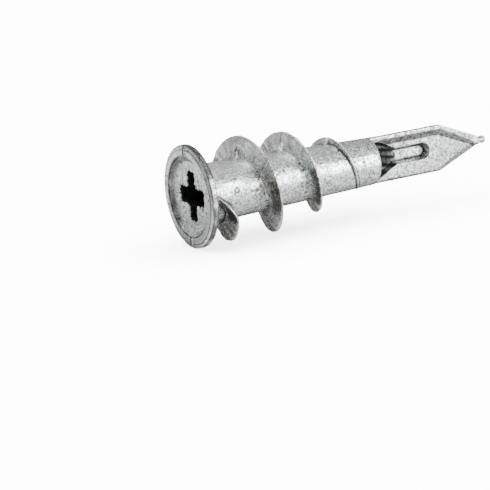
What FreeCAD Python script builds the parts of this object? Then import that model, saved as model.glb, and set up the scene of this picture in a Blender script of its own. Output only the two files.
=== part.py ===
import FreeCAD, Part
import math
import os

# Self-drilling wall anchor for hollow board: one zinc die casting.
# Frame: the board's surface is the plane Y = 0, +Y runs along the anchor's axis into the board,
# +Z is up, and the origin is the centre of the flange's underside. The raised edge of the cutting
# blade is on top (+Z) and its channelled face looks along +X. All sizes are in mm.

FLANGE_R = 6.28          # flange, 12.6 across
FLANGE_T = 1.0           # from the underside to the front land
FLANGE_EDGE = 0.22       # rounding of both rims of the flange
LAND_R = 5.75            # the front land ends here in a shallow chamfer
CHAMFER_DROP = 0.18
DISH_R = 4.93            # front land runs from here to the rim
DISH_FLOOR_R = 4.25
DISH_DEPTH = 0.62

SHANK_R = 3.7            # shank radius at the flange
COLLAR_R = 2.88          # shank radius at its far end
COLLAR_Y = 24.15         # far end of the collar on the channelled side
COLLAR_EDGE = 0.35
ROOT_FILLET = 0.5        # between the shank and the flange's underside

PITCH = 5.96             # one deep right-handed fin
FIN_Y0 = 0.83            # where the fin's crest line would cross the top (+Z) line first
FIN_R = 6.15             # crest radius of the full fin
FIN_FULL_Y = 9.6         # the crest starts to come down here
FIN_END_Y = 22.4         # and sinks under the collar's surface here
FIN_CREST_HALF = 0.27    # half thickness near the crest of the full fin
FIN_THIN_HALF = 0.07     # and of the fin where it has run out
FIN_ROOT_HALF = 0.72     # half thickness at the buried foot
FIN_LOW = 1.5            # a fin lower than this has a smaller root flare
FIN_HIGH = 2.6           # a fin lower than this has a thinner crest
FIN_BURY = 0.45          # depth of the foot under the shank's surface
LEAD_START = 0.226       # the fin grows out of the shank between these two turns,
LEAD_END = 0.318         # on a steeper lead that comes from the flange
LEAD_SLOPE = 24.5        # mm per turn
STEP_HALF = 0.006        # half the width of the step at a parting plane, in turns
STEPS_PER_TURN = 32

DRIVE_R = 3.0            # cross recess: half span at the dish's floor
DRIVE_END_Y = 6.0        # the wings have run into the round bore here
WING_WIDE = 0.95         # half thickness of the wings that reach along X
WING_SLIM = 0.78         # half thickness of the wings that reach along Z
MOUTH_FLARE = 0.14       # the cross widens by this much at the dish's floor
BORE_R = 1.5             # round passage that the screw cuts its thread in
BORE_END_Y = 26.4        # its conical end starts here
BORE_TIP_Y = 29.0
POCKET_R = 2.35          # the passage fans out sideways where the channel starts
POCKET_Y = 25.0
POCKET_TIP_Y = 29.4
POCKET_HALF = 0.76

BLADE_HALF = 2.93        # half width of the blade
SHOULDER_Y = 33.75       # the parallel edges end here
NECK_Y = 39.2            # the two slanting edges end here
NECK_HALF = 0.56
TIP_Y = 40.3
NUB_R = 0.49
RIM_TOP = 0.92           # raised edge, measured from the axis plane
RIM_W = 0.36             # its flat top
SLOPE_W = 0.8            # from the flat top down to the recessed face
FACE_IN = 0.4            # recessed face at the foot of the slope
FACE_OUT = 0.12          # recessed face at the blade's plain edge
TIP_HALF_T = 0.45        # half thickness of the blade at the neck
BEVEL = 0.26             # bevel along the blade's plain edge
BEVEL_EARLY = 1.0        # its inner line turns this much sooner, which widens it toward the tip

SLOT_HALF = 1.1          # channel, half width at the lips
SLOT_FLOOR_HALF = 0.7
SLOT_FLOOR_X = -0.8
SLOT_END_Y = 32.35       # far end of the lips
SLOT_LIP_X = 0.4
SPINE_R = 1.5            # half-round back of the channel
SPINE_END_Y = 34.2

REACH = 4.0              # past every edge of the blade

Y_AXIS = FreeCAD.Vector(0, 1, 0)
ORIGIN = FreeCAD.Vector(0, 0, 0)


def vec(x, y, z):
    return FreeCAD.Vector(x, y, z)


def corner(before, at, after, radius):
    """Start, middle and end of the arc that rounds the corner `at` with this setback."""
    a = at + (before - at).normalize() * radius
    b = at + (after - at).normalize() * radius
    middle = (a + b) * 0.5
    return a, at + (middle - at) * 0.586, b


def outline(points, rounds):
    """Closed wire through the points; `rounds` gives the setback of the corners to be rounded."""
    count = len(points)
    edges = []
    stops = []
    for i, at in enumerate(points):
        if i in rounds:
            stops.append(corner(points[i - 1], at, points[(i + 1) % count], rounds[i]))
        else:
            stops.append((at, None, at))
    for i, (start, middle, end) in enumerate(stops):
        if middle is not None:
            edges.append(Part.Arc(start, middle, end).toShape())
        following = stops[(i + 1) % count][0]
        if end.distanceToPoint(following) > 1e-6:
            edges.append(Part.makeLine(end, following))
    return Part.Wire(edges)


def turned(points, rounds):
    """Solid of revolution about the anchor's axis; the points are (radius, y)."""
    wire = outline([vec(r, y, 0) for r, y in points], rounds)
    return Part.Face(wire).revolve(ORIGIN, Y_AXIS, 360)


def prism(points, rounds, direction):
    return Part.Face(outline(points, rounds)).extrude(direction)


def shank_r(y):
    return SHANK_R + (COLLAR_R - SHANK_R) * min(max(y / COLLAR_Y, 0.0), 1.0)


def crest_r(y):
    """Crest radius of the fin: full, then down in a smooth ramp until it is under the surface."""
    u = min(max((y - FIN_FULL_Y) / (FIN_END_Y - FIN_FULL_Y), 0.0), 1.0)
    ramp = u ** 1.45 * (1.0 + 0.42 * (1.0 - u))
    return FIN_R + (COLLAR_R - 0.1 - FIN_R) * ramp


def head_and_shank():
    """Dished flange, tapered shank and plain collar."""
    points = [(0, -FLANGE_T + DISH_DEPTH), (DISH_FLOOR_R, -FLANGE_T + DISH_DEPTH), (DISH_R, -FLANGE_T),
              (LAND_R, -FLANGE_T), (FLANGE_R, -FLANGE_T + CHAMFER_DROP), (FLANGE_R, 0), (SHANK_R, 0),
              (COLLAR_R, COLLAR_Y), (0, COLLAR_Y)]
    rounds = {1: 0.15, 2: 0.08, 4: 0.12, 5: FLANGE_EDGE, 6: ROOT_FILLET, 7: COLLAR_EDGE}
    return turned(points, rounds)


def fin_centre(turn):
    """Position along the axis and crest radius of the fin after this many turns from the top line."""
    y = FIN_Y0 + PITCH * turn
    growth = min(max((turn - LEAD_START) / (LEAD_END - LEAD_START), 0.0), 1.0)
    start_r = SHANK_R - 0.25
    crest = start_r + (crest_r(y) - start_r) * math.sin(growth * math.pi / 2)
    return y - (LEAD_SLOPE - PITCH) * max(LEAD_END - turn, 0.0), crest


def fin_half(s, height):
    """Half thickness of a fin this high, at s from 0 at its foot to 1 at its rounded crest."""
    full = min(height / FIN_HIGH, 1.0)
    crest_half = FIN_THIN_HALF + (FIN_CREST_HALF - FIN_THIN_HALF) * full
    flare = (FIN_ROOT_HALF - FIN_CREST_HALF) * min(height / FIN_LOW, 1.0)
    return (crest_half + flare * (1 - s) ** 2.2) * math.sqrt(1 - s ** 14)


def die_fill(away, s, foot, crest):
    """Extra thickness of the casting near the plane where the halves of the die meet (X = 0).

    Each half of the die is drawn off along X, so a flank that lies under the fin further out is
    filled straight back to the parting plane, which is the angle `away`.
    """
    r = foot + (crest - foot) * s
    here = fin_half(s, crest - foot)
    fill = 0.0
    for step in range(1, 9):
        outer = s + (1 - s) * step / 8
        outer_r = foot + (crest - foot) * outer
        outer_away = math.acos(r / outer_r * math.cos(away))
        lag = PITCH / (2 * math.pi) * (outer_away - away)
        fill = max(fill, lag + fin_half(outer, crest - foot) - here)
    return fill


def fin_skin(first, last):
    """Surface over both flanks and the crest, from one parting plane to the next."""
    heights = [0, 0.18, 0.36, 0.55, 0.72, 0.85, 0.93, 0.98]
    across = [(s, -1) for s in heights] + [(1.0, 0)] + [(s, 1) for s in reversed(heights)]
    steps = max(int(round((last - first) * STEPS_PER_TURN)), 4)
    grid = []
    for i in range(steps + 1):
        turn = first + (last - first) * i / steps
        y, crest = fin_centre(turn)
        angle = 2 * math.pi * turn
        foot = shank_r(y) - FIN_BURY
        plane = round(2 * turn) / 2
        filled_side = 1 if turn > plane else -1
        row = []
        for s, side in across:
            half = fin_half(s, crest - foot)
            if side == filled_side:
                half += die_fill(abs(turn - plane) * 2 * math.pi, s, foot, crest)
            r = foot + (crest - foot) * s
            row.append(vec(r * math.sin(angle), y + side * half, r * math.cos(angle)))
        grid.append(row)
    skin = Part.BSplineSurface()
    skin.interpolate(grid)
    return skin


def ends(edge):
    return Part.makeLine(edge.Vertexes[0].Point, edge.Vertexes[-1].Point)


def fin():
    """The deep single-start fin, with a short step between its halves at each parting plane."""
    final = (FIN_END_Y - FIN_Y0) / PITCH
    planes = [n / 2 for n in range(1, math.ceil(2 * final))]
    starts = [LEAD_START - 0.02] + [plane + STEP_HALF for plane in planes]
    stops = [plane - STEP_HALF for plane in planes] + [final]
    skins = [fin_skin(a, b) for a, b in zip(starts, stops)]
    faces = []
    for skin in skins:
        v0, v1 = skin.bounds()[2:]
        faces.append(skin.toShape())
        faces.append(Part.makeRuledSurface(skin.vIso(v0).toShape(), skin.vIso(v1).toShape()))
    ribs = [[skin.uIso(u).toShape() for u in skin.bounds()[:2]] for skin in skins]
    for before, after in zip(ribs, ribs[1:]):
        faces.append(Part.makeRuledSurface(before[1], after[0]))
        faces.append(Part.makeRuledSurface(ends(before[1]), ends(after[0])))
    for rib in (ribs[0][0], ribs[-1][1]):
        faces.append(Part.Face(Part.Wire([rib, ends(rib)])))
    shell = Part.makeShell(faces)
    shell.sewShape()
    solid = Part.makeSolid(Part.Shell(shell.Faces))
    if solid.Volume < 0:
        solid.reverse()
    return solid


def blade_plate():
    """Blade outline in the Y-Z plane, given its full thickness, thinner toward the tip."""
    y0 = COLLAR_Y - COLLAR_EDGE
    half = [(y0, BLADE_HALF), (SHOULDER_Y, BLADE_HALF), (NECK_Y, NECK_HALF)]
    points = [vec(-RIM_TOP, y, z) for y, z in half] + [vec(-RIM_TOP, y, -z) for y, z in reversed(half)]
    plate = prism(points, {1: 0.4, 4: 0.4}, vec(2 * RIM_TOP, 0, 0))
    side = [(y0, RIM_TOP), (SHOULDER_Y, RIM_TOP), (NECK_Y + 0.2, TIP_HALF_T)]
    wedge = [vec(x, y, -5) for y, x in side] + [vec(-x, y, -5) for y, x in reversed(side)]
    return plate.common(prism(wedge, {1: 2.0, 4: 2.0}, vec(0, 0, 10)))


def face_x(z):
    """Recessed face: a plane that falls gently from the slope's foot to the plain edge."""
    inner = BLADE_HALF - RIM_W - SLOPE_W
    return FACE_OUT + (FACE_IN - FACE_OUT) * (z + BLADE_HALF) / (inner + BLADE_HALF)


def edge_region(inset, side, lift, early=0.0):
    """Outline that runs from beyond the plain edge up to a line along the blade's edge.

    The line follows the edge on `side` (1 raised, -1 plain), moved in by `inset`, and `lift` gives
    the height x of the outline at each z. It turns toward the tip sooner by `early`.
    """
    slant = (BLADE_HALF - NECK_HALF) / (NECK_Y - SHOULDER_Y)
    z_in = BLADE_HALF - inset
    y_bend = SHOULDER_Y - 0.25 * inset - early
    y_far = TIP_Y + 1.0
    z_far = z_in - slant * (y_far - y_bend)
    start = COLLAR_Y - 0.6
    corners = [(start, -REACH), (start, side * z_in), (y_bend, side * z_in), (y_far, side * z_far)]
    corners.append((y_far, -REACH))
    return Part.makePolygon([vec(lift(z), y, z) for y, z in corners + corners[:1]])


def face_recess():
    """What is missing from the blade's channelled face between its raised edge and its plain edge."""
    rise = RIM_TOP + 0.02 - face_x(BLADE_HALF - RIM_W)
    low = edge_region(RIM_W + SLOPE_W, 1, face_x)
    high = edge_region(RIM_W, 1, lambda z: face_x(z) + rise)
    top = edge_region(RIM_W, 1, lambda z: 3.0)
    return Part.makeLoft([low, high], True, True).fuse(Part.makeLoft([high, top], True, True))


def plain_bevel():
    """Bevel between the channelled face and the plain edge."""
    inner = edge_region(2 * BEVEL, -1, lambda z: FACE_OUT + 0.8 * BEVEL, BEVEL_EARLY)
    outer = edge_region(0, -1, lambda z: FACE_OUT - 0.8 * BEVEL)
    return Part.makeLoft([outer, inner], True, True)


def blade():
    """Flat cutting blade: a raised edge on each face, opposite one another about the axis."""
    missing = [face_recess(), plain_bevel()]
    opposite = [solid.rotated(ORIGIN, Y_AXIS, 180) for solid in missing]
    plate = blade_plate().cut(missing + opposite)
    nub = Part.makeSphere(NUB_R, vec(0, TIP_Y - NUB_R, 0))
    neck = Part.makeCone(NECK_HALF + 0.04, NUB_R - 0.12, 1.2, vec(0, NECK_Y - 0.7, 0), Y_AXIS)
    return plate.fuse([neck, nub])


def spine():
    """Half-round back that carries the channel: the collar's shell drawn down to a bullet end."""
    points = [(0, COLLAR_Y - 1.5), (COLLAR_R, COLLAR_Y - 1.5), (COLLAR_R, POCKET_Y + 0.2),
              (SPINE_R, POCKET_TIP_Y - 1.3), (SPINE_R - 0.05, SLOT_END_Y - 0.4), (0.35, SPINE_END_Y),
              (0, SPINE_END_Y)]
    solid = turned(points, {2: 0.6, 3: 0.6, 4: 0.8})
    back = Part.makeBox(6, 14, 8, vec(-6.1, COLLAR_Y - 2, -4))
    return solid.common(back)


def stadium(half, end_y, x):
    """Slot outline with a half-round far end, open length reaching back under the collar."""
    y0 = COLLAR_Y - 0.4
    y1 = end_y - half
    edges = [Part.makeLine(vec(x, y0, -half), vec(x, y1, -half)),
             Part.Arc(vec(x, y1, -half), vec(x, end_y, 0), vec(x, y1, half)).toShape(),
             Part.makeLine(vec(x, y1, half), vec(x, y0, half)),
             Part.makeLine(vec(x, y0, half), vec(x, y0, -half))]
    return Part.Wire(edges)


def channel():
    """Channel that leads the screw out along the blade: sloping walls, flat floor, round far end."""
    draft = (SLOT_HALF - SLOT_FLOOR_HALF) / (SLOT_LIP_X - SLOT_FLOOR_X)
    top_x = RIM_TOP + 0.3
    rise = draft * (top_x - SLOT_LIP_X)
    floor = stadium(SLOT_FLOOR_HALF, SLOT_END_Y - (SLOT_HALF - SLOT_FLOOR_HALF), SLOT_FLOOR_X)
    top = stadium(SLOT_HALF + rise, SLOT_END_Y + rise, top_x)
    return Part.makeLoft([floor, top], True, True)


def cross(wide, slim, length, y0, y1):
    """Plus-shaped bar along the axis; `wide` and `slim` are (near, far) half thicknesses."""
    def arm(near, far, place, direction):
        section = [(y0, near), (y1, far), (y1, -far), (y0, -near)]
        return prism([place(y, h) for y, h in section], {}, direction)

    flat = arm(wide[0], wide[1], lambda y, h: vec(-length, y, h), vec(2 * length, 0, 0))
    upright = arm(slim[0], slim[1], lambda y, h: vec(h, y, -length), vec(0, 0, 2 * length))
    return flat.fuse(upright)


def drive_recess():
    """Cross recess for the driver, with an eased mouth, its wings running in to the bore."""
    floor_y = -FLANGE_T + DISH_DEPTH
    ease_y = floor_y + 0.3
    bars = cross((WING_WIDE, WING_WIDE - 0.1), (WING_SLIM, WING_SLIM - 0.1), 5, floor_y - 0.2, DRIVE_END_Y)
    taper = turned([(0, floor_y - 0.2), (DRIVE_R, floor_y - 0.2), (DRIVE_R, floor_y),
                    (BORE_R - 0.1, DRIVE_END_Y), (0, DRIVE_END_Y)], {2: 0.3})
    flared = cross((WING_WIDE + MOUTH_FLARE, WING_WIDE - 0.02), (WING_SLIM + MOUTH_FLARE, WING_SLIM - 0.02),
                   5, floor_y, ease_y)
    ring = turned([(0, floor_y), (DRIVE_R + MOUTH_FLARE, floor_y), (DRIVE_R - 0.1, ease_y), (0, ease_y)], {})
    return bars.common(taper).fuse(flared.common(ring))


def screw_passage():
    """Round bore with a conical end, fanning out sideways where it opens into the channel."""
    bore = turned([(0, -FLANGE_T), (BORE_R, -FLANGE_T), (BORE_R, BORE_END_Y), (0, BORE_TIP_Y)], {})
    fan = turned([(0, COLLAR_Y - 0.5), (POCKET_R, COLLAR_Y - 0.5), (POCKET_R, POCKET_Y),
                  (0, POCKET_TIP_Y)], {})
    slab = Part.makeBox(3, 8, 6, vec(-POCKET_HALF, COLLAR_Y - 1, -3))
    return bore.fuse(fan.common(slab))


def anchor_body():
    body = head_and_shank().fuse([fin(), blade(), spine()])
    return body.cut([drive_recess(), screw_passage(), channel()])


os.makedirs("parts", exist_ok=True)
anchor_body().exportStep("parts/anchor_body.step")
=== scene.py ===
import math

import bpy
import numpy as np
from mathutils import Matrix, Vector, noise


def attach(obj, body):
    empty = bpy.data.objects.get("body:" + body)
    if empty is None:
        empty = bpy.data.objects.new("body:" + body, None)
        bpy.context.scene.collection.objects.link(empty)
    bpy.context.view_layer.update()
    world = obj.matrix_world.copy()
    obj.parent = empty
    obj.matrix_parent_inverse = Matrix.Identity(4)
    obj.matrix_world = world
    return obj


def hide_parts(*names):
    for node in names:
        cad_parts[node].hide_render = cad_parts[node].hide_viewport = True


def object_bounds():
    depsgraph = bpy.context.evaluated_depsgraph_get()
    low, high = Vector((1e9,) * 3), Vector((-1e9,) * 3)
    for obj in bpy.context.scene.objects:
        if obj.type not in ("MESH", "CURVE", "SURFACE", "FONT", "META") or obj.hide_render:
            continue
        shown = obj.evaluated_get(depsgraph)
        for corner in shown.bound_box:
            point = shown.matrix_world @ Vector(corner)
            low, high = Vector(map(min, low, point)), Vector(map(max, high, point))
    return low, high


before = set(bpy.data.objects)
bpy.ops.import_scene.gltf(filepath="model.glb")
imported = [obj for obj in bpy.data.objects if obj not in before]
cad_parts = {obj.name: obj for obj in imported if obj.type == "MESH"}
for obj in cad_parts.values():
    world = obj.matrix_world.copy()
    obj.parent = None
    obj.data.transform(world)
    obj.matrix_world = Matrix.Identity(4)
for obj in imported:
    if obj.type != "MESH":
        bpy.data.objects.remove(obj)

# Looks of a zinc self-drilling wall anchor. The one visible piece is the CAD body remeshed finely:
# its edges are eased as tumbling eases a die casting, and it gets the marks of casting, which are
# parting lines, pits, an ejector ring, dents along the fin and ragged edges on the cross recess.
# The axis of the anchor is Y, and the parting plane of the die is X = 0.

MM = 0.001
NODE = "anchor_body"
PIECE = "zinc_casting"

cad_low, cad_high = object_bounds()
CENTRE = (Vector(cad_low) + Vector(cad_high)) / 2
FLOOR_Z = cad_low[2]

# The softened mesh.
VOXEL = 0.075            # its spacing, in millimetres
SOFTEN_STEPS = 1
NARROW_STEPS = 6         # smoothing steps that show up narrow grooves
WIDE_STEPS = 60          # and those that show up whole corners

# The casting, in millimetres.
FLANGE_R = (cad_high[2] - cad_low[2]) / MM / 2
LAND_Y = cad_low[1] / MM         # front land of the flange
DISH_R = FLANGE_R - 1.35         # rim of the dish
CHAMFER_R = FLANGE_R - 0.53      # the land ends here
DISH_FLOOR_Y = LAND_Y + 0.62
CROSS_R = 3.3                    # reach of the cross recess
CROSS_END_Y = 7.0
BORE_R = 2.4                     # everything nearer the axis than this is inside the shank
SHANK_R = 3.7                    # at the flange
SHANK_TAPER = 0.034
COLLAR_Y = 24.1
CONE_R = 1.5                     # conical end of the bore
CONE_Y = 26.4
CONE_TIP_Y = 29.0
FAN_R = 2.4                      # pockets that fan out from the bore to the channel
FAN_Y = 25.0
FAN_TIP_Y = 29.4
FAN_HALF = 0.85
CHANNEL_HALF = 1.1
CHANNEL_FLOOR_HALF = 0.7
CHANNEL_LIP_X = 0.36
CHANNEL_END_Y = 32.5
SHOULDER_Y = 33.0                # the blade narrows towards its tip from about here
PITCH = 5.96
FIN_Y0 = 0.83                    # the fin's crest is on the top line here, and once every pitch
FIN_END_Y = 23.5
FIN_TURNS = (1, 1.5, 2, 2.5)     # where the fin crosses the parting plane and gets dents
FIN_DENTS = (                    # start x, y back, z; end x, y back, z; width; depth
    (0.0, 0.35, 6.0, -0.1, 0.6, 5.3, 0.09, 0.1),
    (-0.7, 0.42, 5.72, -1.0, 0.9, 5.05, 0.11, 0.11),
    (-0.05, 0.75, 4.6, -0.1, 1.2, 3.8, 0.07, 0.09),
    (0.0, 1.3, 3.5, -0.3, 1.35, 3.45, 0.12, 0.22),
)
RING_AT = (3.5, 3.9, 0.45)       # ejector ring on the shank
RING_R = 0.32
PITS = 420

# The view.
VIEW_AZIMUTH = 62.93     # degrees, 0 looks along +Y
VIEW_ELEVATION = 12.66
VIEW_ROLL = -5.14
VIEW_DISTANCE = 588.2 * MM
FRAME_RIGHT = -11.28 * MM  # the picture's middle, seen from the anchor's
FRAME_UP = -9.38 * MM
LENS = 357.8
SENSOR = 36

# The studio. Places on the floor are in metres from its middle, which is under the origin.
FLOOR_HALF = 4.0
FLOOR_GLOW = 14.0                # makes the floor near white to the camera
BRIGHT_SIDE = (0.89, 0.455, 0)   # the floor shines towards the front softbox
DARK_SIDE = (0.42, -0.87, -0.1)  # the studio is dim this way, to the camera's left
STRIP_X = -0.007                 # middle of a dim strip of floor under the anchor
LAMP_DISTANCE = 0.6
SOFTBOXES = (                    # name, direction, width, height, radiance
    ("front_box", (0.868, 0.444, 0.24), 0.5, 0.3, 17.0),
    ("top_box", (0.1, -0.3, 1.0), 0.4, 0.4, 4.6),
    ("back_box", (-0.4, 0.9, 0.1), 0.4, 0.15, 5.0),
)
WHITE = (1, 1, 1, 1)


def numbers(items, name, width):
    flat = np.empty(len(items) * width, dtype=np.float32)
    items.foreach_get(name, flat)
    return flat.reshape(-1, width).astype(float)


def rise(value, low, high):
    """0 below low, 1 above high, smooth between."""
    t = np.clip((value - low) / (high - low), 0, 1)
    return t * t * (3 - 2 * t)


def fall(value, low, high):
    """1 below low, 0 above high, smooth between."""
    return 1 - rise(value, low, high)


def bell(value, width):
    return np.exp(-(value / width) ** 2)


def noise_at(points, scale, seed):
    shift = Vector((seed * 7.3, seed * 3.1, seed * 5.7))
    return np.array([noise.noise(Vector(p) * scale + shift) for p in points])


class Skin:
    """The points of a mesh in millimetres, and the way that the surface faces there."""

    def __init__(self, mesh):
        self.mesh = mesh
        self.at = numbers(mesh.vertices, "co", 3)
        self.x, self.y, self.z = self.at.T
        self.normal = numbers(mesh.vertex_normals, "vector", 3)
        self.radius = np.hypot(self.x, self.z)
        fin_height = self.radius - SHANK_R + SHANK_TAPER * self.y
        along = rise(self.y, 0.2, 0.6) * fall(self.y, FIN_END_Y - 1, FIN_END_Y)
        self.on_fin = rise(fin_height, 0.1, 1.2) * along

    def hollows(self, steps):
        """How deep each point lies under the average of its surroundings, in millimetres."""
        ends = np.empty(len(self.mesh.edges) * 2, dtype=np.int32)
        self.mesh.edges.foreach_get("vertices", ends)
        a, b = ends[::2], ends[1::2]
        count = len(self.at)
        neighbours = np.bincount(ends, minlength=count)
        even = self.at.copy()
        for _ in range(steps):
            total = np.empty_like(even)
            for axis in range(3):
                total[:, axis] = np.bincount(a, even[b, axis], count)
                total[:, axis] += np.bincount(b, even[a, axis], count)
            even = total / neighbours[:, None]
        return ((even - self.at) * self.normal).sum(axis=1)

    def keep(self, name, values):
        layer = self.mesh.attributes.new(name, "FLOAT", "POINT")
        layer.data.foreach_set("value", values.astype(np.float32))


def softened():
    """The CAD body in millimetres as an even, fine mesh with eased edges."""
    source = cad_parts[NODE]
    mesh = source.data.copy()
    mesh.transform(Matrix.Scale(1 / MM, 4) @ source.matrix_world)
    mesh.materials.clear()
    piece = bpy.data.objects.new(PIECE, mesh)
    bpy.context.scene.collection.objects.link(piece)
    remesh = piece.modifiers.new("remesh", "REMESH")
    remesh.mode = "VOXEL"
    remesh.voxel_size = VOXEL
    ease = piece.modifiers.new("ease", "SMOOTH")
    ease.factor = 0.5
    ease.iterations = SOFTEN_STEPS
    graph = bpy.context.evaluated_depsgraph_get()
    piece.data = bpy.data.meshes.new_from_object(piece.evaluated_get(graph))
    piece.modifiers.clear()
    bpy.data.meshes.remove(mesh)
    return piece


# Marks of casting: how far each point is moved along its normal, in millimetres.

def seam_marks(skin):
    """Parting line: a faint flash ridge, and a step across the flange's land."""
    flash = 0.035 * bell(skin.x, 0.07) * rise(skin.radius, BORE_R, BORE_R + 0.2)
    flash *= 0.6 + 0.8 * np.sin(1.7 * skin.y) ** 2
    on_land = fall(skin.y, LAND_Y + 0.1, LAND_Y + 0.25) * rise(skin.radius, DISH_R - 0.05, DISH_R + 0.1)
    step = 0.09 * bell(skin.x - 0.2, 0.16) - 0.13 * bell(skin.x + 0.14, 0.15)
    return np.where(on_land > 0, on_land * step, flash)


def rim_lines(skin):
    """Fine turned lines on the flange's front, at the dish's rim and where the chamfer starts."""
    front = fall(skin.y, -0.7, -0.55)
    past_dish = skin.radius - DISH_R
    dish = 0.025 * bell(past_dish - 0.17, 0.06) - 0.06 * bell(past_dish - 0.04, 0.06)
    return front * (dish - 0.055 * bell(skin.radius - CHAMFER_R, 0.06))


def ring_mark(skin):
    """The print of an ejector pin: a round groove with a slightly raised middle and outer edge."""
    away = np.linalg.norm(skin.at - np.array(RING_AT), axis=1)
    groove = 0.075 * bell(away - RING_R, 0.07)
    return 0.03 * bell(away, 0.2) - groove + 0.02 * bell(away - RING_R - 0.13, 0.08)


def pit_marks(skin, outside):
    """Small gas pits scattered over the outside."""
    draw = np.random.default_rng(7)
    marks = np.zeros(len(skin.at))
    for place in skin.at[draw.choice(np.flatnonzero(outside > 0.5), PITS)]:
        size = draw.uniform(0.06, 0.17)
        near = np.abs(skin.y - place[1]) < 3 * size
        away = np.linalg.norm(skin.at[near] - place, axis=1)
        marks[near] -= draw.uniform(0.25, 0.55) * size * bell(away, size)
    return marks


def dent(skin, start, end, width, depth):
    """A dent along a straight stretch."""
    a, b = np.array(start), np.array(end)
    along = np.clip((skin.at - a) @ (b - a) / ((b - a) @ (b - a)), 0, 1)
    away = np.linalg.norm(skin.at - (a + along[:, None] * (b - a)), axis=1)
    return -depth * bell(away, width)


def fin_marks(skin):
    """Cold-shut dents down the flanks at the parting plane, and a pit at each root."""
    marks = np.zeros(len(skin.at))
    for turn in FIN_TURNS:
        side = 1 if turn == int(turn) else -1
        y = FIN_Y0 + PITCH * turn
        for x0, back0, z0, x1, back1, z1, width, depth in FIN_DENTS:
            start = (x0 * side, y - back0, z0 * side)
            marks += dent(skin, start, (x1 * side, y - back1, z1 * side), width, depth)
    return marks


# Sideways shifts that make straight edges uneven.

def wander(skin):
    """Makes the step at each parting plane an uneven line."""
    shift = np.zeros_like(skin.at)
    near = np.flatnonzero((np.abs(skin.x) < 1.0) & (skin.on_fin > 0))
    uneven = noise_at(skin.at[near] * (0, 0.3, 1), 0.9, 5)
    shift[near, 0] = 0.45 * uneven * bell(skin.x[near], 0.45) * skin.on_fin[near]
    return shift


def ragged(skin):
    """Breaks up the edges of the cross recess."""
    near = rise(skin.y, DISH_FLOOR_Y - 0.12, DISH_FLOOR_Y - 0.04) * fall(skin.y, 0.4, 1.6)
    near *= fall(skin.radius, CROSS_R, CROSS_R + 0.25)
    shift = np.zeros_like(skin.at)
    chosen = np.flatnonzero(near > 0)
    flat = skin.at[chosen] * (1, 0.35, 1)
    for axis, seed in ((0, 1), (2, 2)):
        uneven = 0.2 * noise_at(flat, 2.3, seed) + 0.16 * noise_at(flat, 5.5, seed + 8)
        shift[chosen, axis] = near[chosen] * uneven
    return shift


# Painted shade (above 0) and painted highlights (below 0) that read darker or brighter than the skin
# round them, with a crack and a few plain changes of tone.

def flange_painted_light(skin):
    """Painted shade and highlight lines round the dish and the land, painted shade and highlight across
    the notch in the land, and painted shade on the dish's left wall and on the flange's side.
    """
    front = fall(skin.y, -0.5, -0.3)
    past_dish = skin.radius - DISH_R
    past_land = skin.radius - CHAMFER_R
    dish = 0.85 * bell(past_dish + 0.06, 0.09) - 0.6 * bell(past_dish - 0.16, 0.09)
    dish += 0.6 * bell(past_dish + 0.35, 0.22) * fall(skin.x, -3.5, 0)
    dish -= 1.1 * bell(past_dish + 0.8, 0.1)
    land = (0.8 * bell(past_land - 0.1, 0.09) - 0.7 * bell(past_land + 0.08, 0.08)) * rise(skin.x, -2, 3)
    notch = rise(past_dish, 0, 0.1) * fall(past_land, 0, 0.15)
    notch *= 2.2 * bell(skin.x + 0.14, 0.17) - 1.4 * bell(skin.x - 0.24, 0.16)
    side = rise(skin.radius, FLANGE_R - 0.12, FLANGE_R - 0.04) * fall(skin.y, 0.1, 0.3)
    side *= 0.8 * bell(skin.y + 0.08, 0.13) + 0.6 * bell(skin.y + 0.74, 0.12) + 0.75
    return front * (dish + land + notch) + side


def on_shank(skin):
    along = rise(skin.y, 0.5, 1.5) * fall(skin.y, COLLAR_Y - 0.5, COLLAR_Y)
    return along * fall(skin.radius, SHANK_R + 0.05, SHANK_R + 0.2)


def face_ink(skin):
    """The blade's plain face is duller past the channel."""
    return 0.2 * rise(skin.y, CHANNEL_END_Y - 0.1, SHOULDER_Y + 1) * rise(skin.normal[:, 0], 0.9, 0.97)


def channel_ink(skin):
    """The channel's lower wall is in shade."""
    across = fall(np.abs(skin.z), CHANNEL_HALF, CHANNEL_HALF + 0.12)
    across *= fall(skin.z, -CHANNEL_FLOOR_HALF, -CHANNEL_FLOOR_HALF + 0.15)
    along = rise(skin.y, 28.5, 29.5) * fall(skin.y, CHANNEL_END_Y - 0.3, CHANNEL_END_Y)
    return 0.42 * across * along * fall(skin.x, CHANNEL_LIP_X - 0.11, CHANNEL_LIP_X)


def slope_painted_shade(skin):
    """Painted shade on the slope of the blade's raised edge, and on the narrow faces that look up."""
    up = skin.normal[:, 2]
    on_blade = rise(skin.y, COLLAR_Y + 0.5, COLLAR_Y + 1.5)
    down_slope = fall(up, -0.45, -0.2) * rise(skin.x, -0.4, -0.25)
    down_slope *= 0.78 - 0.06 * rise(skin.y, SHOULDER_Y, SHOULDER_Y + 1)
    beside_channel = rise(np.abs(skin.z), CHANNEL_HALF + 0.2, CHANNEL_HALF + 0.4)
    down_slope *= np.maximum(beside_channel, rise(skin.y, SHOULDER_Y, SHOULDER_Y + 0.4))
    return on_blade * (down_slope + 0.5 * rise(up, 0.55, 0.8) * rise(skin.z, 0.2, 0.6))


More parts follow.
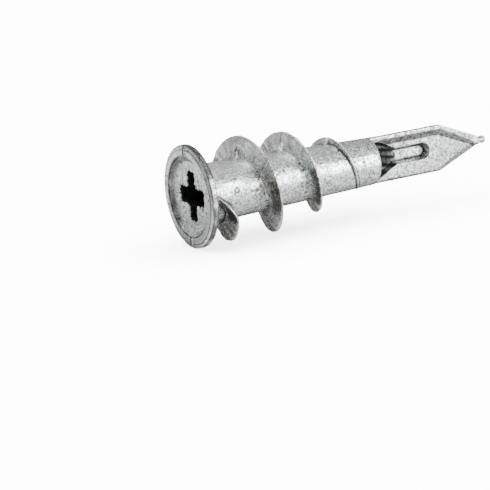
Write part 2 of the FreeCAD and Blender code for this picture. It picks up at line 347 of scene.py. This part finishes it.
def flank_painted_light(skin):
    """The fin's front flanks get a painted highlight up at the top and painted shade lower down, with a
    crack at X = 0.
    """
    x, y, z = skin.x, skin.y, skin.z
    shade = 0.95 * fall(z, 0.5, 3.4) * (1 - 0.95 * fall(z, -3.8, -2.0)) - 0.55 * rise(z, 2.8, 4.6)
    shade += 0.6 * fall(y, 3.8, 5.2) * rise(z, -3.4, -2.4)
    crack = 1.1 * bell(x + 0.16 - 0.12 * np.sin(3.1 * z + y), 0.06) * rise(np.abs(z), 3.5, 3.9)
    return skin.on_fin * (shade * fall(skin.normal[:, 1], -0.7, -0.3) + crack)


# Painted shade above 0 and painted highlights below 0, with the fin's crack and a paler top on the
# shank's near half.
def painted_light_and_marks(skin):
    uneven = 1 + 0.9 * noise_at(skin.at, 0.9, 8)
    shank = on_shank(skin)
    bright_top = 0.4 * shank * rise(skin.z, 1.8, 3.0) * fall(skin.y, 16, 20)
    # Painted shade on the shank's underside.
    painted_shade_under = 0.2 * shank * fall(skin.z, -2.4, -1.2)
    mottled = uneven * (flange_painted_light(skin) + painted_shade_under + face_ink(skin))
    return mottled + channel_ink(skin) + slope_painted_shade(skin) + flank_painted_light(skin) - bright_top


def flow(skin):
    """Streaks left on the fin's flanks as the metal ran out to the crest."""
    values = np.zeros(len(skin.at))
    chosen = np.flatnonzero(skin.on_fin > 0)
    x, y, z = skin.at[chosen].T
    lean = np.arctan2(x, z) + 0.06 * np.hypot(x, z)
    values[chosen] = noise_at(np.stack([9 * np.sin(lean), 9 * np.cos(lean), y * 0.4], axis=1), 1.0, 9)
    return values * skin.on_fin


def passage(skin):
    """1 on the walls of the cross recess, the bore and the pockets that fan out to the channel, which
    are painted near black as shade.
    """
    radius, y = skin.radius, skin.y
    cross = fall(radius, CROSS_R, CROSS_R + 0.1) * rise(y, DISH_FLOOR_Y + 0.02, DISH_FLOOR_Y + 0.12)
    bore = fall(radius, BORE_R, BORE_R + 0.1)
    cone_r = CONE_R * np.clip((CONE_TIP_Y - y) / (CONE_TIP_Y - CONE_Y), 0, 1)
    fan_r = FAN_R * np.clip((FAN_TIP_Y - y) / (FAN_TIP_Y - FAN_Y), 0, 1)
    cone = fall(radius, cone_r + 0.02, cone_r + 0.14)
    fan = fall(radius, fan_r + 0.02, fan_r + 0.14) * (np.abs(skin.x) < FAN_HALF)
    far = 0.93 * np.maximum(cone, fan) * fall(y, 28.0, 29.2)
    far *= 0.96 + 0.14 * np.sin(7 * skin.z + 0.8 * y) * fall(radius, 1.6, 2.2)
    return np.where(y < CROSS_END_Y, cross, np.where(y < COLLAR_Y, bore, far))


def casting():
    piece = softened()
    mesh = piece.data
    skin = Skin(mesh)
    inside = passage(skin)
    painted_light_and_marks_values = painted_light_and_marks(skin)
    streaks = flow(skin)
    plain_form = skin.hollows(NARROW_STEPS)
    # Where this is 1, only the marks of casting count as grooves, and not the hollows of the form; the
    # groove and corner values steer painted shade in hollows and painted highlights on ridges.
    eased = 0.7 * rise(skin.x, -0.2, 0.4) * rise(skin.y, 2.5, 3.5) * fall(skin.y, 15.5, 17.5)
    eased = np.maximum(eased, fall(skin.y, -0.35, -0.25))

    lift = 0.022 * noise_at(skin.at, 0.55, 3) + 0.012 * noise_at(skin.at, 1.9, 4)
    lift += seam_marks(skin) + rim_lines(skin) + ring_mark(skin) + fin_marks(skin)
    lift += pit_marks(skin, 1 - inside) + 0.05 * streaks
    skin.at += skin.normal * lift[:, None] + ragged(skin) + wander(skin)
    mesh.vertices.foreach_set("co", (skin.at * MM).astype(np.float32).ravel())

    # The recess walls are painted near black as shade.
    skin.keep("recess", inside)
    skin.keep("fin", skin.on_fin)
    skin.keep("flow", streaks)
    skin.keep("painted_light_and_marks", painted_light_and_marks_values)
    skin.keep("calm", fall(skin.y, -0.1, 0.3) - 0.6 * rise(skin.y, COLLAR_Y + 0.4, COLLAR_Y + 1.4))
    # groove steers painted shade in narrow creases and pits, and painted highlights on ridges and edges.
    skin.keep("groove", skin.hollows(NARROW_STEPS) - eased * plain_form)
    # corner steers painted shade in the wide corners of the form.
    skin.keep("corner", skin.hollows(WIDE_STEPS) * (1 - eased))
    mesh.polygons.foreach_set("use_smooth", np.ones(len(mesh.polygons), dtype=bool))
    mesh.update()
    mesh.name = PIECE
    return piece


class Nodes:
    """Short hand for building the node tree of a material or a world."""

    def __init__(self, owner):
        owner.use_nodes = True
        self.owner = owner
        self.tree = owner.node_tree
        self.tree.nodes.clear()

    def add(self, kind, options=None, **inputs):
        node = self.tree.nodes.new("ShaderNode" + kind)
        for key, value in (options or {}).items():
            setattr(node, key, value)
        for key, value in inputs.items():
            self.put(node.inputs[key.replace("_", " ")], value)
        return node

    def put(self, socket, value):
        if isinstance(value, bpy.types.NodeSocket):
            self.tree.links.new(value, socket)
        else:
            socket.default_value = value

    def maths(self, operation, a, b=0.0, clamp=False):
        node = self.add("Math", {"operation": operation, "use_clamp": clamp})
        self.put(node.inputs[0], a)
        self.put(node.inputs[1], b)
        return node.outputs[0]

    def spread(self, value, low, high, out_low=0.0, out_high=1.0):
        """Maps low..high to out_low..out_high, and stops there."""
        node = self.add("MapRange", {"clamp": True}, Value=value, From_Min=low, From_Max=high,
                        To_Min=out_low, To_Max=out_high)
        return node.outputs[0]

    def toward(self, place, direction):
        node = self.add("VectorMath", {"operation": "DOT_PRODUCT"}, Vector=place)
        node.inputs[1].default_value = direction
        return node.outputs["Value"]

    def noise(self, place, scale, detail, roughness=0.55, distortion=0.0):
        node = self.add("TexNoise", Vector=place, Scale=scale, Detail=detail, Roughness=roughness,
                        Distortion=distortion)
        return node.outputs["Fac"]

    def attribute(self, name):
        return self.add("Attribute", {"attribute_name": name}).outputs["Fac"]

    def openness(self, samples, distance):
        """1 in the open, 0 where other surfaces are close all round."""
        return self.add("AmbientOcclusion", {"samples": samples}, Distance=distance).outputs["AO"]

    def mix(self, kind, factor, a, b):
        node = self.add("Mix", {"data_type": "RGBA", "blend_type": kind, "clamp_factor": True})
        self.put(node.inputs[0], factor)
        self.put(node.inputs[6], a)
        self.put(node.inputs[7], b)
        return node.outputs[2]

    def glow(self, strength):
        return self.add("Emission", Color=WHITE, Strength=strength).outputs[0]


def skin_colour(n, patches, clouds, grain, calm):
    """Cool and warm greys in patches, clouded and grained, and paler where the skin is calm."""
    warm = n.maths("ADD", patches, n.maths("MULTIPLY", n.attribute("fin"), 0.12))
    colour = n.mix("MIX", n.spread(warm, 0.48, 0.62), (0.525, 0.595, 0.625, 1), (0.645, 0.615, 0.53, 1))
    colour = n.mix("MIX", n.spread(calm, 0, 1, 0, 0.85), colour, (0.92, 0.955, 0.965, 1))
    busy = n.spread(calm, -1, 1, 1.65, 0.35)
    mottling = (                 # pattern, where it starts and is full, share, colour
        (clouds, 0.51, 0.56, 0.9, (0.79, 0.84, 0.855, 1)),
        (clouds, 0.49, 0.44, 0.9, (0.30, 0.315, 0.33, 1)),
        (grain, 0.525, 0.56, 0.85, (0.95, 0.98, 0.98, 1)),
        (grain, 0.455, 0.41, 0.9, (0.16, 0.16, 0.15, 1)),
    )
    for pattern, start, full, share, shade in mottling:
        amount = n.maths("MULTIPLY", n.spread(pattern, start, full, 0, share), busy)
        colour = n.mix("MIX", amount, colour, shade)
    return colour


def layered(n, colour, layers):
    """Lays each of the layers over the colour."""
    for kind, steer, start, full, share, shade in layers:
        colour = n.mix(kind, n.spread(steer, start, full, 0, share), colour, shade)
    return colour


def zinc():
    """As-cast zinc: cool and warm greys, clouded, speckled, with painted shade in the hollows, corners,
    creases and recesses and painted highlights on ridges.
    """
    n = Nodes(bpy.data.materials.new("cast_zinc"))
    place = n.add("TexCoord").outputs["Object"]
    place = n.add("VectorMath", {"operation": "SCALE"}, Vector=place, Scale=1 / MM).outputs[0]
    patches = n.noise(place, 0.42, 3, 0.6, 0.6)
    clouds = n.noise(place, 1.25, 7, 0.7, 0.7)
    grain = n.noise(place, 3.6, 5, 0.75, 0.4)
    specks = n.noise(place, 3.4, 3, 0.75, 0.8)
    dots = n.maths("MULTIPLY", n.spread(specks, 0.435, 0.385), n.spread(patches, 0.35, 0.6, 0.5, 1))
    flow_lines = n.attribute("flow")
    groove = n.attribute("groove")
    painted_light_and_marks_values = n.attribute("painted_light_and_marks")
    recess = n.attribute("recess")
    turned_away = n.add("LayerWeight", Blend=0.5).outputs["Facing"]

    # Each layer: blend, what steers it, where it starts and is full, share, colour.
    colour = layered(n, skin_colour(n, patches, clouds, grain, n.attribute("calm")), (
        ("MIX", flow_lines, 0.08, 0.35, 0.6, (0.85, 0.85, 0.82, 1)),
        ("MIX", flow_lines, -0.12, -0.4, 0.7, (0.2, 0.2, 0.19, 1)),
        ("MIX", dots, 0, 1, 1, (0.10, 0.095, 0.085, 1)),
        # Painted shade where other surfaces are close round the point.
        ("MULTIPLY", n.openness(6, 1.1 * MM), 0.8, 0.28, 0.85, (0.30, 0.285, 0.26, 1)),
        # Painted shade in wide corners.
        ("MULTIPLY", n.attribute("corner"), 0.03, 0.16, 0.7, (0.30, 0.285, 0.26, 1)),
        # Painted shade in narrow creases and pits, and painted highlights on ridges.
        ("MULTIPLY", groove, 0.0035, 0.017, 0.9, (0.16, 0.15, 0.13, 1)),
        ("MIX", groove, -0.01, -0.035, 0.5, (0.86, 0.87, 0.87, 1)),
        # Painted shade where the value is above 0 and painted highlights where it is below, with the
        # fin's crack among them.
        ("MULTIPLY", painted_light_and_marks_values, 0.05, 1, 1, (0.14, 0.135, 0.125, 1)),
        ("MIX", painted_light_and_marks_values, -0.05, -1, 0.9, (0.93, 0.94, 0.94, 1)),
        # Painted shade where the surface turns away from the camera, darkening the outlines.
        ("MULTIPLY", turned_away, 0.62, 0.95, 0.85, (0.35, 0.35, 0.35, 1)),
        # Painted shade: the recess, the bore and the pockets near black.
        ("MIX", recess, 0, 1, 1, (0.006, 0.006, 0.006, 1)),
    ))

    rough = n.spread(clouds, 0.42, 0.58, 0.42, 0.16)
    rough = n.maths("ADD", rough, n.maths("MULTIPLY", dots, 0.3))
    rough = n.maths("ADD", rough, n.maths("MULTIPLY", recess, 0.4), clamp=True)
    height = n.maths("ADD", n.maths("MULTIPLY", clouds, 0.06), n.maths("MULTIPLY", grain, 0.022))
    height = n.maths("SUBTRACT", height, n.maths("MULTIPLY", dots, 0.03))
    bump = n.add("Bump", Strength=0.7, Distance=MM, Height=height).outputs[0]
    # The painted shade in the recess is also less metallic, rougher and less shiny.
    metal = n.maths("SUBTRACT", 0.92, n.maths("MULTIPLY", recess, 0.9))
    shader = n.add("BsdfPrincipled", Base_Color=colour, Metallic=metal, Roughness=rough, Normal=bump,
                   Specular_IOR_Level=n.spread(recess, 0, 1, 0.5, 0.2))
    n.add("OutputMaterial", Surface=shader.outputs[0])
    return n.owner


def floor_for_anchor(n, place):
    """What the anchor sees of the floor: dim under itself and on the dark side, bright to the right."""
    across = n.toward(place, (1, 0, 0))
    from_strip = n.maths("ABSOLUTE", n.maths("SUBTRACT", across, STRIP_X))
    matt = n.spread(n.toward(place, DARK_SIDE), 0.014, 0.035, 0.85, 0.1)
    matt = n.maths("MULTIPLY", matt, n.spread(from_strip, 0.0045, 0.01, 0.35, 1))
    colour = n.add("CombineColor", Red=matt, Green=matt, Blue=matt).outputs[0]
    sheen = n.spread(n.toward(place, BRIGHT_SIDE), 0.02, 0.06, 0, 2.5)
    sheen = n.maths("ADD", sheen, n.spread(across, -0.001, 0.003, 0, 0.12))
    sheen = n.maths("ADD", sheen, n.spread(across, -0.013, -0.03, 0, 0.4))
    both = n.add("AddShader")
    n.put(both.inputs[0], n.add("BsdfDiffuse", Color=colour).outputs[0])
    n.put(both.inputs[1], n.glow(sheen))
    return both.outputs[0]


def pale_floor():
    """Near white to the camera, with a soft shade close to the anchor."""
    n = Nodes(bpy.data.materials.new("pale_floor"))
    place = n.add("TexCoord").outputs["Object"]
    shade = n.spread(n.openness(8, 14 * MM), 0.35, 1.0, 0.3, 1.0)
    paper = n.spread(n.noise(place, 60.0, 2), 0.3, 0.7, 0.97, 1.0)
    strength = n.maths("MULTIPLY", n.maths("MULTIPLY", shade, paper), FLOOR_GLOW)
    choice = n.add("MixShader", Fac=n.add("LightPath").outputs["Is Camera Ray"])
    n.put(choice.inputs[1], floor_for_anchor(n, place))
    n.put(choice.inputs[2], n.glow(strength))
    n.add("OutputMaterial", Surface=choice.outputs[0])
    return n.owner


def floor():
    mesh = bpy.data.meshes.new("floor")
    ways = ((-1, -1), (1, -1), (1, 1), (-1, 1))
    corners = [(FLOOR_HALF * x, FLOOR_HALF * y, FLOOR_Z) for x, y in ways]
    mesh.from_pydata(corners, [], [(0, 1, 2, 3)])
    mesh.materials.append(pale_floor())
    plane = bpy.data.objects.new("floor", mesh)
    bpy.context.scene.collection.objects.link(plane)


def softbox(name, direction, width, height, radiance):
    """An area light that faces the anchor; radiance is what a mirror would show of it."""
    light = bpy.data.lights.new(name, "AREA")
    light.shape = "RECTANGLE"
    light.size = width
    light.size_y = height
    light.energy = radiance * math.pi * width * height
    lamp = bpy.data.objects.new(name, light)
    toward = Vector(direction).normalized()
    lamp.location = CENTRE + toward * LAMP_DISTANCE
    lamp.rotation_euler = toward.to_track_quat("Z", "Y").to_euler()
    bpy.context.scene.collection.objects.link(lamp)


def world_light():
    """Soft white all round, dim on one side; the camera sees it as bright as the floor."""
    world = bpy.data.worlds.new("studio")
    bpy.context.scene.world = world
    n = Nodes(world)
    way = n.add("TexCoord").outputs["Generated"]
    soft = n.spread(n.toward(way, DARK_SIDE), 0.2, 0.85, 0.62, 0.12)
    seen = n.add("LightPath").outputs["Is Camera Ray"]
    strength = n.maths("ADD", n.maths("MULTIPLY", seen, FLOOR_GLOW), soft)
    background = n.add("Background", Color=WHITE, Strength=strength)
    n.add("OutputWorld", Surface=background.outputs[0])


def camera():
    azimuth = math.radians(VIEW_AZIMUTH)
    elevation = math.radians(VIEW_ELEVATION)
    roll = math.radians(VIEW_ROLL)
    flat = math.cos(elevation)
    toward = Vector((math.sin(azimuth) * flat, -math.cos(azimuth) * flat, math.sin(elevation)))
    level = Vector((0, 0, 1)).cross(toward).normalized()
    upright = toward.cross(level)
    right = level * math.cos(roll) + upright * math.sin(roll)
    up = toward.cross(right)
    data = bpy.data.cameras.new("camera")
    data.lens = LENS
    data.sensor_width = SENSOR
    data.clip_start = 10 * MM
    eye = bpy.data.objects.new("camera", data)
    matrix = Matrix((right, up, toward)).transposed().to_4x4()
    matrix.translation = CENTRE + toward * VIEW_DISTANCE + right * FRAME_RIGHT + up * FRAME_UP
    eye.matrix_world = matrix
    bpy.context.scene.collection.objects.link(eye)
    bpy.context.scene.camera = eye


body = casting()
body.data.materials.append(zinc())
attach(body, "root")
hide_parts(NODE)
floor()
world_light()
for box in SOFTBOXES:
    softbox(*box)
camera()
